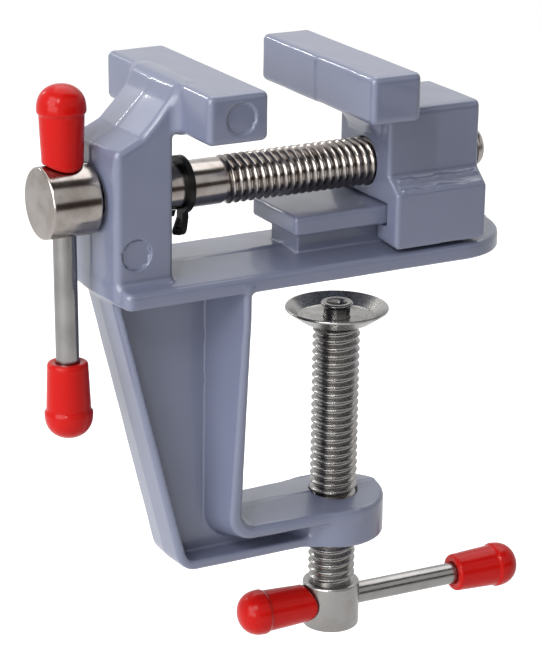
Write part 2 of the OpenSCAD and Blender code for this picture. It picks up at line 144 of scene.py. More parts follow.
bodySizes = {
    "jawHeight": 9.2, "jawDepth": 12.2, "jawRound": 1.2, "jawFace": -27.26, "jawFillet": 2.2,
    "columnWidth": 18.2, "columnDepth": 12.35, "columnEdge": 1.3, "shoulder": 28.9,
    "crown": 0.8, "crownEnd": 1.5, "crownFade": 6,   # the crown of the outer side, which ends under the jaw
    "slopeStart": (5.2, 2.4), "slopeEnd": (2.6, 3.4), "slopeTop": (0.9, 1.1),   # corners of the buttress
    "plateWidth": 25.6, "plateTop": 4.4, "plateFall": 0.9, "plateSetback": 0.7,
    "plateEdge": 1.0, "plateUnderEdge": 0.6, "plateCorner": 1.5, "plateFillet": 1.2,
    "railStart": -14.46, "railEnd": 28.04, "railWidth": 17.2, "railUnder": 8.16, "railTop": 11.94,
    "railEdge": 0.7, "railFillet": 0.25,
    "stemWidth": 10.4, "stemSetback": 2.3, "stemEdge": 0.4, "stemFillet": 0.3,
    "legSetback": 1.1, "legLean": 0.257, "legEdge": 1.0, "legCrown": 0.5, "legFillet": 1.0,
    "footRound": 4.5, "flange": 2.1, "flangeSlant": 1.03, "flangeWidth": 12.0, "flangeEdge": 0.5,
    "web": 2.4, "webFillet": 0.4, "pocketTop": -0.4, "buried": 1.5,
    "throatX": -25.5, "throatZ": -47.8, "throatRound": 3.5, "throatTopWidth": 25.2, "throatFull": -4,
    "throatEdge": 1.5, "throatRim": 0.3, "throatSide": 0.9, "throatFillet": 0.2,
    "flangeRoot": 4.1, "bendRound": 5.5,
    "armWidth": 18.1, "armFall": 1.1, "armFlange": 2.6, "armWidens": (4, 12), "armInset": 0.5,
    "bossRadius": 10.1, "bossEdge": 0.9, "bossFillet": 1.6,
    "screwHeight": 18.8, "screwBore": 4.75, "boreEdge": 0.35, "threadBore": 4.76, "threadEdge": 0.45,
    "markRadius": 2.9, "markDepth": 0.45, "markShift": 0.5, "markEdge": 0.3,
    "seam": 0.11, "plateSeam": 0.17, "buttressSeam": 0.12,
}


def plateField(s, x, y, z):   # rounded end, bevelled left end and a top that falls to both edges
    ay, half = np.abs(y), s["plateWidth"] / 2
    end = bodyHigh[0] - half
    left = bodyLow[0] + s["plateSetback"] + s["crown"] * ay / half
    side = common(ay - half, left - x, s["plateCorner"])
    rim = np.where(x > end, np.hypot(x - end, y) - half, side)
    top = z - s["plateTop"] + s["plateFall"] * ay / half + seam(y, s["plateSeam"])
    return common(common(rim, top, s["plateEdge"]), -z, s["plateUnderEdge"])


def columnField(s, x, y, z):   # the side's outline carried across, crowned towards the parting line
    outer, top = bodyLow[0], bodyHigh[2]
    inner, back, under = outer + s["columnDepth"], s["jawFace"] - s["jawDepth"], top - s["jawHeight"]
    (u0, v0), (u1, v1), (u2, v2) = s["slopeStart"], s["slopeEnd"], s["slopeTop"]
    corners = [[outer, 1, 0], [outer, s["shoulder"], 1.5], [outer + u0, s["shoulder"] + v0, 2.5],
               [back - u1, top - v1, 3], [back - u2, top - v2, 1], [back + 2, top - v2, 0],
               [back + 2, under, 0], [inner, under, 0.8], [inner, 1, 0]]
    ay, half = np.abs(y), s["columnWidth"] / 2
    fade = np.clip((back + s["crownEnd"] - x) / s["crownFade"], 0, 1)
    crowned = x - (s["crown"] * ay / half + seam(y, s["buttressSeam"])) * fade
    return common(inOutline(rounded(corners), crowned, z), ay - half, s["columnEdge"])


def railField(s, x, y, z):   # stem and head of the T
    start, end, head, stem = s["railStart"], s["railEnd"], s["railWidth"] / 2, s["stemWidth"] / 2
    inset = s["stemSetback"]
    wide = block(x, y, z, (start, -head, s["railUnder"]), (end, head, s["railTop"]), s["railEdge"])
    thin = block(x, y, z, (start + inset, -stem, s["plateTop"] - 2), (end - inset, stem, s["railTop"] - 1),
                 s["stemEdge"])
    return joined(wide, thin, s["stemFillet"])


def legField(s, x, y, z):   # web, narrow outer flange, and the wide flange round the throat
    ay = np.abs(y)
    lean, t, throatX, throatZ = s["legLean"], s["flange"], s["throatX"], s["throatZ"]
    outer, bottom = bodyLow[0] + s["legSetback"], bodyLow[2]
    foot, floor = outer - lean * bottom, bottom + t
    fade = np.clip((throatX - s["crownFade"] - x) / s["crownFade"], 0, 1)
    crowned = x - s["legCrown"] * ay / (s["flangeWidth"] / 2) * fade
    innerX, innerZ = throatX - s["buried"], throatZ - s["buried"]
    corners = [[outer, 1, 0], [foot, bottom, s["footRound"]], [0, bottom, 0], [0, innerZ, 0],
               [innerX, innerZ, s["throatRound"]], [innerX, 1, 0]]
    whole = inOutline(rounded(corners), crowned, z)
    wall, arm, top = outer + s["flangeSlant"] * t, 2 - s["bossRadius"], s["pocketTop"]
    corners = [[wall - top * lean, top, 1.5], [wall - lean * floor, floor, 2.5], [arm, floor, 1],
               [arm, throatZ - t, 1], [throatX - t / 3, throatZ - t, 3.5], [throatX - t, top, 2.5]]
    pocket = inOutline(rounded(corners), x, z)
    outerFlange = common(-pocket, ay - s["flangeWidth"] / 2, s["flangeEdge"])
    section = joined(ay - s["web"] / 2, outerFlange, s["webFillet"])
    outside = common(whole, section, s["legEdge"])
    # the throat's flange: flat towards the table, thickest at the web, narrower towards the arm
    narrow, wide = s["armWidth"] / 2, s["throatTopWidth"] / 2
    rise = np.clip((z - throatZ + s["armFall"]) / (s["throatFull"] - throatZ), 0, 1)
    widenFrom, widenOver = s["armWidens"]
    reach = np.clip((x - throatX - widenFrom) / widenOver, 0, 1)
    width = narrow + (wide - narrow) * rise + (s["bossRadius"] - s["armInset"] - narrow) * reach
    share = np.clip((ay - s["web"] / 2) / (wide - s["web"] / 2), 0, 1)
    behind = throatX - s["flangeRoot"] + (s["flangeRoot"] - s["throatEdge"]) * share
    armTop = throatZ - s["armFall"] * ay / narrow - seam(y, s["seam"])
    armUnder = throatZ - s["armFall"] - s["flangeRoot"] + (s["flangeRoot"] - s["armFlange"]) * ay / narrow
    face = joined(x - throatX, z - armTop, s["throatRound"])
    bend = common(behind - x, armUnder - z, s["bendRound"])
    throat = common(common(face, bend, s["throatRim"]), ay - width, s["throatSide"])
    throat = np.maximum(throat, np.maximum(z - 1, x))
    return joined(outside, throat, s["throatFillet"])


def bodyField(x, y, z):   # column, jaw, plate, rail, leg and boss joined, less the bores and the marks
    s = bodySizes
    ay, top, under = np.abs(y), bodyHigh[2], bodyHigh[2] - s["jawHeight"]
    jaw = block(x, y, z, (s["jawFace"] - s["jawDepth"], bodyLow[1], under),
                (s["jawFace"], bodyHigh[1], top), s["jawRound"])
    metal = joined(columnField(s, x, y, z), jaw, s["jawFillet"])
    metal = joined(metal, plateField(s, x, y, z), s["plateFillet"])
    metal = joined(metal, railField(s, x, y, z), s["railFillet"])
    metal = joined(metal, legField(s, x, y, z), s["legFillet"])
    bossTop = s["throatZ"] - s["armFall"] * np.minimum(ay / (s["armWidth"] / 2), 1) - seam(y, s["seam"])
    around = np.hypot(x, y)
    boss = common(around - s["bossRadius"], z - bossTop, s["bossEdge"])
    boss = common(boss, bodyLow[2] - z, s["bossEdge"])
    metal = joined(metal, boss, s["bossFillet"])
    onArm = (x > s["throatX"] + s["throatRound"]) & (z < s["throatZ"] / 4)
    metal = np.where(onArm, np.maximum(metal, z - bossTop), metal)
    bore = np.maximum(np.hypot(y, z - s["screwHeight"]) - s["screwBore"], x - s["jawFace"])
    metal = common(metal, -bore, s["boreEdge"])
    thread = np.maximum(around - s["threadBore"], z - s["throatZ"] - 3)
    metal = common(metal, -thread, s["threadEdge"])
    # round marks of the pins that pushed the casting out of its die
    jawMark = s["jawFace"] - s["jawDepth"] / 2 + s["markShift"], top - s["jawHeight"] / 2, bodyHigh[1]
    columnMark = bodyLow[0] + s["columnDepth"] / 2 - 1, s["screwHeight"] / 2, s["columnWidth"] / 2
    for markX, markZ, side in (jawMark, columnMark):
        mark = np.maximum(np.hypot(x - markX, z - markZ) - s["markRadius"], side - s["markDepth"] - ay)
        metal = common(metal, -mark, s["markEdge"])
    return metal + waviness(x, y, z)


jawSizes = {
    "depth": 10.6, "height": 9.2, "edge": 1.2,
    "blockStart": 5.24, "blockTop": 30.7, "blockWidth": 18.6, "blockEdge": 0.9, "topRound": 1.2,
    "footWidth": 25.5, "footHeight": 14.8, "footSlope": 2.9, "footRound": 0.45, "slopeRound": 0.5,
    "gap": 0.3, "underGap": 0.5, "slotEdge": 0.25,
    "lines": (0.62, 0.1), "lineRadius": 0.5, "lineHeight": 0.15, "lineFillet": 0.3, "lineEnds": (1.6, 1.2),
    "waver": (0.16, 0.08), "waverTurns": (0.8, 2.1),   # height, and radians to the millimetre
    "bracketWidth": 12.0, "bracketEdge": 1.0, "bracketFillet": 1.4, "barFillet": 0.8,
}


def jawField(x, y, z):   # bar, bracket and block joined, less the T slot and the bore
    s, b = jawSizes, bodySizes
    face, top, blockTop = jawLow[0], jawHigh[2], s["blockTop"]
    back, start, end = face + s["depth"], s["blockStart"], jawHigh[0]
    ay, half, foot = np.abs(y), s["blockWidth"] / 2, s["footWidth"] / 2
    low = top - s["height"]
    bar = block(x - seam(y, b["seam"]), y, z, (face, jawLow[1], low), (back, jawHigh[1], top), s["edge"])
    # the block seen from its end: a foot as wide as the plate, a slope to the narrower upper part
    under = b["plateTop"] - b["plateFall"] * foot / (b["plateWidth"] / 2) + s["underGap"]
    step = s["footHeight"] + s["footSlope"]
    front = rounded([[-foot, under, 0.5], [0, b["plateTop"] + s["underGap"], 0], [foot, under, 0.5],
                     [foot, s["footHeight"], s["footRound"]], [half, step, s["slopeRound"]],
                     [half, blockTop, s["topRound"]], [-half, blockTop, s["topRound"]],
                     [-half, step, s["slopeRound"]], [-foot, s["footHeight"], s["footRound"]]])
    body = common(inOutline(front, y, z), slab(x, start, end), s["blockEdge"])
    # two raised, wavering lines that the worn die left on the slope and above its lower edge
    (wide, fine), (slow, quick) = s["waver"], s["waverTurns"]
    waver = wide * np.sin(slow * x + 1) + fine * np.sin(quick * x)
    lineFrom, lineTo = start + s["lineEnds"][0], end - s["lineEnds"][1]
    for share in s["lines"]:
        line = np.hypot(ay - foot + (foot - half) * share + s["lineRadius"] - s["lineHeight"],
                        z - s["footHeight"] - s["footSlope"] * share - waver) - s["lineRadius"]
        body = joined(body, np.maximum(line, slab(x, lineFrom, lineTo)), s["lineFillet"])
    # the bracket below the bar and the gusset behind it
    side = rounded([[start + 1, blockTop - 6, 0], [start, blockTop - 6, 0], [face + 6, low + 0.2, 0],
                    [face + 6, low + 3, 0], [back - 0.5, top - 2.4, 0], [start + 3, blockTop + 1.6, 3],
                    [start + 8, blockTop - 0.2, 0], [start + 8, blockTop - 2, 0]])
    bracket = common(inOutline(side, x, z), ay - s["bracketWidth"] / 2, s["bracketEdge"])
    metal = joined(joined(bar, bracket, s["bracketFillet"]), body, s["barFillet"])
    # the T slot and the bore, both with their running clearance
    head, stem = b["railWidth"] / 2 + s["gap"], b["stemWidth"] / 2 + s["gap"]
    slotLow, slotHigh = b["railUnder"] - s["gap"], b["railTop"] + s["gap"]
    opening = np.maximum(ay - stem, z - slotLow - 0.5)
    slot = np.minimum(opening, np.maximum(ay - head, slab(z, slotLow, slotHigh)))
    metal = common(metal, -slot, s["slotEdge"])
    bore = np.hypot(y, z - b["screwHeight"]) - b["threadBore"]
    return common(metal, -bore, b["boreEdge"]) + waviness(x, y, z)


net = {
    "cell": 0.56, "quickCell": 1.3, "before": 1.6, "after": 2.6,   # the margins are in cells
    "smoothing": (0.5, 0.5, 0.0), "rounds": 2, "nudge": 0.02, "stride": 0.25, "leastSlope": 0.3,
}


# A net over the cells that the surface crosses: each cell's point is the mean of its edges' crossings,
# then it is moved along the field's slope onto the surface and evened out along it
def surfaceNet(field, low, high, cell):
    axes = [np.arange(a - net["before"] * cell, b + net["after"] * cell, cell) for a, b in zip(low, high)]
    value = field(*np.meshgrid(*axes, indexing="ij", sparse=True))
    shape = np.array(value.shape) - 1
    total, count, quads = np.zeros((*shape, 3)), np.zeros(shape), []
    for axis in range(3):
        first = [slice(None)] * 3
        second = [slice(None)] * 3
        first[axis], second[axis] = slice(0, -1), slice(1, None)
        v0, v1 = value[tuple(first)], value[tuple(second)]
        cut = np.argwhere((v0 < 0) != (v1 < 0))
        a, b = v0[tuple(cut.T)], v1[tuple(cut.T)]
        point = cut.astype(float)
        point[:, axis] += a / (a - b)
        u, v = (axis + 1) % 3, (axis + 2) % 3
        corners = []
        for du, dv in ((-1, -1), (0, -1), (0, 0), (-1, 0)):
            owner = cut.copy()
            owner[:, u] += du
            owner[:, v] += dv
            np.add.at(total, tuple(owner.T), point)
            np.add.at(count, tuple(owner.T), 1)
            corners.append(np.ravel_multi_index(tuple(owner.T), shape))
        quad = np.stack(corners, 1)
        quads.append(np.where((a < 0)[:, None], quad, quad[:, ::-1]))
    live = count.ravel() > 0
    number = np.cumsum(live) - 1
    faces = number[np.concatenate(quads)]
    origin = np.array([axis[0] for axis in axes])
    points = total.reshape(-1, 3)[live] / count.ravel()[live, None] * cell + origin
    edges = np.concatenate([faces[:, [0, 1]], faces[:, [1, 2]], faces[:, [2, 3]], faces[:, [3, 0]]])
    ends, others = edges.T
    degree = np.bincount(ends, minlength=len(points))[:, None]
    for smoothing in net["smoothing"]:
        points, normals = ontoSurface(field, points)
        if smoothing:
            pull = np.stack([np.bincount(ends, points[others, k], len(points)) for k in range(3)], 1)
            step = (pull / degree - points) * smoothing
            points = points + step - normals * np.sum(step * normals, 1, keepdims=True)
    return points, faces, normals


def ontoSurface(field, points):   # Newton steps along the field's slope, none longer than the stride
    nudge, stride = net["nudge"], net["stride"]
    for _ in range(net["rounds"]):
        here = field(*points.T)
        slope = np.stack([field(*(points + nudge * unit).T) - here for unit in np.eye(3)], 1) / nudge
        size = np.maximum(np.linalg.norm(slope, axis=1, keepdims=True), net["leastSlope"])
        points = points - slope / size * np.clip(here[:, None] / size, -stride, stride)
    return points, slope / size


# Turned forms: a closed outline of [radius, distance along the axis] carried round the axis
def axisFrame(axis):
    axis = np.array(axis, float) / np.linalg.norm(axis)
    helper = np.array([0, 1, 0]) if abs(axis[1]) < 0.9 else np.array([0, 0, 1])
    side = np.cross(helper, axis)
    side /= np.linalg.norm(side)
    return side, np.cross(axis, side), axis


def placed(radius, turn, along, origin, axis):   # at a radius and a turn round the axis, so far along it
    side, up, ahead = axisFrame(axis)
    return (np.array(origin) + (radius * np.cos(turn))[..., None] * side
            + (radius * np.sin(turn))[..., None] * up + along[..., None] * ahead)


def turned(outline, origin, axis, columns=96, closed=True):
    outline = np.asarray(outline, float)
    turn = np.linspace(0, 2 * np.pi, columns, endpoint=False)[None, :] + np.zeros((len(outline), 1))
    points = placed(outline[:, :1] + 0 * turn, turn, outline[:, 1:] + 0 * turn, origin, axis)
    row = np.arange(len(outline) if closed else len(outline) - 1)[:, None]
    column = np.arange(columns)[None, :]
    nextRow, nextColumn = (row + 1) % len(outline), (column + 1) % columns
    quads = np.stack([row * columns + column, row * columns + nextColumn,
                      nextRow * columns + nextColumn, nextRow * columns + column], -1)
    return points.reshape(-1, 3), quads.reshape(-1, 4)


threadForm = {
    "crest": 4.7, "depth": 0.857, "pitch": 25.4 / 16, "runOut": 0.5,
    "flat": 0.03, "flank": 0.42, "round": 1.25,   # widths in pitches, and the flank's power
    "rows": (-0.06, -0.03, 0.0, 0.03, 0.06, 0.14, 0.25, 0.36, 0.44, 0.56, 0.64, 0.75, 0.86),
}


# A thread: a sheared grid whose rows keep one place on the profile and climb a pitch in a turn,
# so the last column of a row joins the first column of the row one turn further on
def threaded(start, end, origin, axis, columns=96):
    s = threadForm
    crest, root, pitch, perTurn = s["crest"], s["crest"] - s["depth"], s["pitch"], len(s["rows"])
    turns = math.ceil((end - start) / pitch) + 3
    phase = (np.arange(turns)[:, None] + np.array(s["rows"])[None, :]).ravel()[:, None]
    share = np.arange(columns)[None, :] / columns
    along = start + (phase - 1 + share) * pitch
    fromCrest = np.abs((phase + 0.5) % 1 - 0.5)
    profile = crest - (crest - root) * np.clip((fromCrest - s["flat"]) / s["flank"], 0, 1) ** s["round"]
    fade = np.clip(np.minimum(along - start, end - along) / (s["runOut"] * pitch), 0, 1)
    radius = root + (profile - root) * fade
    points = placed(radius, 2 * np.pi * share + 0 * phase, np.clip(along, start, end), origin, axis)
    row, column = np.arange(len(phase) - 1)[:, None], np.arange(columns)[None, :]
    wrap = (column + 1) // columns * perTurn
    over = (column + 1) % columns
    quads = np.stack([row * columns + column, (row + wrap) * columns + over,
                      (row + 1 + wrap) * columns + over, (row + 1) * columns + column], -1)
    keep = row + 1 + wrap + 0 * column < len(phase)
    return points.reshape(-1, 3), quads[keep]


def together(*parts):   # several grids as one list of points and one of quads
    points = np.concatenate([p for p, q in parts])
    starts = np.cumsum([0] + [len(p) for p, q in parts[:-1]])
    return points, np.concatenate([q + n for (p, q), n in zip(parts, starts)])


def inScene(name, mesh):
    mesh.shade_smooth()
    piece = bpy.data.objects.new(name, mesh)
    bpy.context.scene.collection.objects.link(piece)
    return piece


def meshObject(name, points, quads, weld=True):
    mesh = bpy.data.meshes.new(name)
    mesh.from_pydata((np.asarray(points) * millimetre).tolist(), [], np.asarray(quads).tolist())
    if weld:   # seams and poles closed, faces turned outwards
        shell = bmesh.new()
        shell.from_mesh(mesh)
        bmesh.ops.remove_doubles(shell, verts=shell.verts, dist=2e-6)
        bmesh.ops.dissolve_degenerate(shell, edges=shell.edges, dist=1e-6)
        loose = [v for v in shell.verts if not v.link_faces]
        bmesh.ops.delete(shell, geom=loose, context="VERTS")
        bmesh.ops.recalc_face_normals(shell, faces=shell.faces)
        shell.to_mesh(mesh)
        shell.free()
    return inScene(name, mesh)


def bored(piece, origin, axis, radius, reach):   # a round hole cut across a turned form
    cutter = meshObject("cutter", *turned([[0, -reach], [radius, -reach], [radius, reach], [0, reach]],
                                          origin, axis, columns=64, closed=False))
    cut = piece.modifiers.new("crossHole", "BOOLEAN")
    cut.operation, cut.solver, cut.object = "DIFFERENCE", "EXACT", cutter
    bpy.context.view_layer.update()
    result = piece.evaluated_get(bpy.context.evaluated_depsgraph_get())
    piece.data = bpy.data.meshes.new_from_object(result)
    piece.modifiers.clear()
    bpy.data.objects.remove(cutter)


def declared(piece, node, body):
    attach(piece, body)
    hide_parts(node)


def fitted(piece, node, material, body, sharpAngle=38):
    piece.data.set_sharp_from_angle(angle=math.radians(sharpAngle))
    piece.data.materials.clear()
    piece.data.materials.append(material)
    declared(piece, node, body)


# Materials
def linear(code):   # sRGB hex to linear red, green, blue and alpha
    parts = [int(code[k:k + 2], 16) / 255 for k in (1, 3, 5)]
    return (*[c / 12.92 if c <= 0.04045 else ((c + 0.055) / 1.055) ** 2.4 for c in parts], 1)


def addNode(tree, kind, settings=None, values=None, links=None):
    node = tree.nodes.new(kind)
    for name, value in (settings or {}).items():
        setattr(node, name, value)
    for name, value in (values or {}).items():
        node.inputs[name].default_value = value
    for name, socket in (links or {}).items():
        tree.links.new(socket, node.inputs[name])
    return node


def newMaterial(name):
    material = bpy.data.materials.new(name)
    material.use_nodes = True
    tree = material.node_tree
    tree.nodes.clear()
    return material, tree, addNode(tree, "ShaderNodeTexCoord").outputs["Object"]


def perMillimetre(size):   # a noise scale that gives spots of this size in millimetres
    return 1 / (size * millimetre)


enamel = {
    "name": "glossEnamelOnCasting", "colour": "#686D82", "shade": "#63687C",
    "cloudSize": 9, "peelSize": 1.6, "peelDepth": 0.12, "peelBump": 0.05,   # sizes and depths in millimetres
    "grainSize": 0.7, "grainDepth": 0.03, "grainBump": 0.04,
    "ior": 1.45, "roughness": (0.28, 0.42), "coat": 0.42, "coatRoughness": 0.05,
}


# Gloss stoving enamel sprayed on a die casting: smooth with a faint orange peel, a clear sheen on the edges
def enamelOnCasting():
    e = enamel
    material, tree, place = newMaterial(e["name"])
    cloud = addNode(tree, "ShaderNodeTexNoise", links={"Vector": place},
                    values={"Scale": perMillimetre(e["cloudSize"]), "Detail": 3})
    colour = addNode(tree, "ShaderNodeMix", {"data_type": "RGBA"},
                     {"A": linear(e["shade"]), "B": linear(e["colour"])}, {"Factor": cloud.outputs["Fac"]})
    peel = addNode(tree, "ShaderNodeTexNoise", links={"Vector": place},
                   values={"Scale": perMillimetre(e["peelSize"]), "Detail": 1})
    grain = addNode(tree, "ShaderNodeTexNoise", links={"Vector": place},
                    values={"Scale": perMillimetre(e["grainSize"]), "Detail": 2})
    wavy = addNode(tree, "ShaderNodeBump", links={"Height": peel.outputs["Fac"]},
                   values={"Strength": e["peelBump"], "Distance": e["peelDepth"] * millimetre})
    fine = addNode(tree, "ShaderNodeBump",
                   values={"Strength": e["grainBump"], "Distance": e["grainDepth"] * millimetre},
                   links={"Height": grain.outputs["Fac"], "Normal": wavy.outputs["Normal"]})
    glossy, dull = e["roughness"]
    rough = addNode(tree, "ShaderNodeMapRange", values={"To Min": glossy, "To Max": dull},
                    links={"Value": cloud.outputs["Fac"]})
    shader = addNode(tree, "ShaderNodeBsdfPrincipled",
                     values={"IOR": e["ior"], "Coat Weight": e["coat"],
                             "Coat Roughness": e["coatRoughness"]},
                     links={"Base Color": colour.outputs["Result"], "Roughness": rough.outputs["Result"],
                            "Normal": fine.outputs["Normal"]})
    addNode(tree, "ShaderNodeOutputMaterial", links={"Surface": shader.outputs["BSDF"]})
    return material


# Metals, by name: streaks are marks to the metre along x, y and z, so 9000 is a mark every 0.11 mm
# The real marks are finer, and are drawn this coarse so that they show
metals = {
    # bright nickel plate on a turned screw: clear reflections, fine turning marks round it, warm stains
    "brightNickelPlate": {"colour": "#9B9591", "stain": "#867E78", "roughness": 0.19,
                          "streak": (9000, 1200, 1200), "stainSize": 4, "bump": 0.12},
    # zinc plate on a turned screw: a softer, greyer shine with marks round it
    "satinZincPlate": {"colour": "#918F8D", "stain": "#868381", "roughness": 0.26,
                       "streak": (2600, 2600, 9000), "stainSize": 6, "bump": 0.12},
    # bars of bright drawn steel: the drawing die's long lines run along them
    "drawnSteelUpright": {"colour": "#8C8A89", "stain": "#7E7C7B", "roughness": 0.24,
                          "streak": (6000, 6000, 250), "stainSize": 6, "bump": 0.2},
    "drawnSteelLevel": {"colour": "#8C8A89", "stain": "#7E7C7B", "roughness": 0.24,
                        "streak": (250, 6000, 6000), "stainSize": 6, "bump": 0.2},
    # zinc plate on pressed sheet: an even, slightly mottled shine with no direction
    "pressedZincSheet": {"colour": "#A3A2A0", "stain": "#8A8784", "roughness": 0.27,
                         "streak": (3500, 3500, 3500), "stainSize": 2.5, "bump": 0.12},
}


# Noise values where stains start and are full, the roughness's factors, and the marks' depth
metalWear = {"stainStart": 0.42, "stainFull": 0.68, "smoothest": 0.65, "roughest": 1.4, "markDepth": 0.04}


# A plated or drawn metal: streaks along or round the work, and darker stains where the plating is thin
def metalFinish(name):
    m, w = metals[name], metalWear
    material, tree, place = newMaterial(name)
    stretched = addNode(tree, "ShaderNodeMapping", values={"Scale": m["streak"]}, links={"Vector": place})
    lines = addNode(tree, "ShaderNodeTexNoise", values={"Scale": 1, "Detail": 4, "Roughness": 0.6},
                    links={"Vector": stretched.outputs["Vector"]})
    patch = addNode(tree, "ShaderNodeTexNoise", links={"Vector": place},
                    values={"Scale": perMillimetre(m["stainSize"]), "Detail": 4})
    where = addNode(tree, "ShaderNodeMapRange", links={"Value": patch.outputs["Fac"]},
                    values={"From Min": w["stainStart"], "From Max": w["stainFull"]})
    mixed = addNode(tree, "ShaderNodeMix", {"data_type": "RGBA"},
                    {"A": linear(m["colour"]), "B": linear(m["stain"])},
                    {"Factor": where.outputs["Result"]})
    rough = addNode(tree, "ShaderNodeMapRange", links={"Value": lines.outputs["Fac"]},
                    values={"To Min": m["roughness"] * w["smoothest"],
                            "To Max": m["roughness"] * w["roughest"]})
    height = addNode(tree, "ShaderNodeBump", links={"Height": lines.outputs["Fac"]},
                     values={"Strength": m["bump"], "Distance": w["markDepth"] * millimetre})
    shader = addNode(tree, "ShaderNodeBsdfPrincipled", values={"Metallic": 1},
                     links={"Base Color": mixed.outputs["Result"], "Roughness": rough.outputs["Result"],
                            "Normal": height.outputs["Normal"]})
    addNode(tree, "ShaderNodeOutputMaterial", links={"Surface": shader.outputs["BSDF"]})
    return material


# Plain finishes with one noise for their colour and height: its size and depth are millimetres
plainFinishes = {
    # dip-moulded soft vinyl: an even wet gloss over a saturated red, a little light passing into it
    "dipMouldedRedVinyl": {"colours": ("#A50F0C", "#AF130F"), "grainSize": 4, "depth": 0.2, "bump": 0.08,
                           "shader": {"IOR": 1.45, "Specular IOR Level": 0.16, "Roughness": 0.19,
                                      "Subsurface Weight": 0.04, "Subsurface Scale": 0.002}},
    # phosphated spring steel: near black, slightly oily, its fine grain drawn coarse so that it shows
    "phosphatedSpringSteel": {"colours": ("#060606", "#101011"), "grainSize": 0.3, "depth": 0.03,
                              "bump": 0.15, "shader": {"Specular IOR Level": 0.2, "Roughness": 0.36}},
}


def plainFinish(name):
    f = plainFinishes[name]
    material, tree, place = newMaterial(name)
    grain = addNode(tree, "ShaderNodeTexNoise", links={"Vector": place},
                    values={"Scale": perMillimetre(f["grainSize"]), "Detail": 2})
    first, second = (linear(code) for code in f["colours"])
    colour = addNode(tree, "ShaderNodeMix", {"data_type": "RGBA"}, {"A": first, "B": second},
                     {"Factor": grain.outputs["Fac"]})
    height = addNode(tree, "ShaderNodeBump", links={"Height": grain.outputs["Fac"]},
                     values={"Strength": f["bump"], "Distance": f["depth"] * millimetre})
    shader = addNode(tree, "ShaderNodeBsdfPrincipled", values=f["shader"],
                     links={"Base Color": colour.outputs["Result"], "Normal": height.outputs["Normal"]})
    addNode(tree, "ShaderNodeOutputMaterial", links={"Surface": shader.outputs["BSDF"]})
    return material


paint = enamelOnCasting()
nickel, zinc, uprightBar, levelBar, pressedZinc = (metalFinish(name) for name in metals)
vinyl, blackSteel = (plainFinish(name) for name in plainFinishes)
print("materials made")

# Castings
for name, field, low, high, node, body in (
        ("castBody", bodyField, bodyLow, bodyHigh, "body_casting", "body"),
        ("castJaw", jawField, jawLow, jawHigh, "moving_jaw", "moving_jaw")):
    points, quads, normals = surfaceNet(field, low, high, net["cell"])
    piece = meshObject(name, np.clip(points, low, high), quads, weld=False)
    piece.data.materials.append(paint)
    piece.data.normals_split_custom_set_from_vertices(normals.tolist())
    declared(piece, node, body)
    print(name, "made:", len(quads) * 2, "triangles")

screwSizes = {
    "height": bodySizes["screwHeight"], "headRadius": 6.73, "headLength": 9.8, "shankRadius": 4.45,
    "headEdge": 0.55, "neckEdge": 0.4, "shankLength": 26.9, "chamfer": (0.5, 0.2),
    "grooveStart": 17.99, "grooveWidth": 1.4, "grooveDepth": 0.35,
    "barBore": 2.26, "barTurn": math.radians(-1.7), "dome": 1.2,
}
# each bar's direction, and the middle of the head that it goes through
uprightAxis = np.array([0, -math.sin(screwSizes["barTurn"]), math.cos(screwSizes["barTurn"])])
mainHead = np.array([screwLow[0] + screwSizes["headLength"] / 2, 0, screwSizes["height"]])


def mainScrew():   # head, shank with the ring's groove, thread and domed tip
    s = screwSizes
    origin, axis = (screwLow[0], 0, s["height"]), (1, 0, 0)
    head, neck, shank = s["headRadius"], s["headLength"], s["shankRadius"]
    root, threadStart = threadForm["crest"] - threadForm["depth"], s["headLength"] + s["shankLength"]
    grooveStart, grooveEnd = s["grooveStart"], s["grooveStart"] + s["grooveWidth"]
    domeStart = screwHigh[0] - screwLow[0] - s["dome"]
    groove, (chamferLength, chamferDepth) = shank - s["grooveDepth"], s["chamfer"]
    outline = rounded([[0, 0, 0], [head, 0, s["headEdge"]], [head, neck, s["neckEdge"]], [shank, neck, 0],
                       [shank, grooveStart, 0], [groove, grooveStart, 0], [groove, grooveEnd, 0],
                       [shank, grooveEnd, 0], [shank, threadStart - chamferLength, 0],
                       [shank - chamferDepth, threadStart, 0], [root, threadStart, 0]])
    arc = np.linspace(0, np.pi / 2, 10)
    tip = np.stack([root * np.cos(arc), domeStart + s["dome"] * np.sin(arc)], 1)
    piece = meshObject("mainScrewTurned", *together(turned(outline, origin, axis, closed=False),
                                                    threaded(threadStart, domeStart, origin, axis),
                                                    turned(tip, origin, axis, closed=False)))
    bored(piece, mainHead, uprightAxis, s["barBore"], 2 * head)
    fitted(piece, "main_screw", nickel, "main_screw")


clampSizes = {
    "headRadius": 5.75, "headLength": 9.6, "headEdge": 0.6, "holeRise": 5.3,
    "threadLength": 55.1, "relief": 0.3,   # the relief leaves bare core at both ends of the thread
    "nose": 2.6, "flare": 3.25, "hollow": 1.7, "barTurn": math.radians(-1.8),
}
levelAxis = np.array([math.cos(clampSizes["barTurn"]), math.sin(clampSizes["barTurn"]), 0])
clampHead = np.array([0, 0, clampLow[2] + clampSizes["holeRise"]])


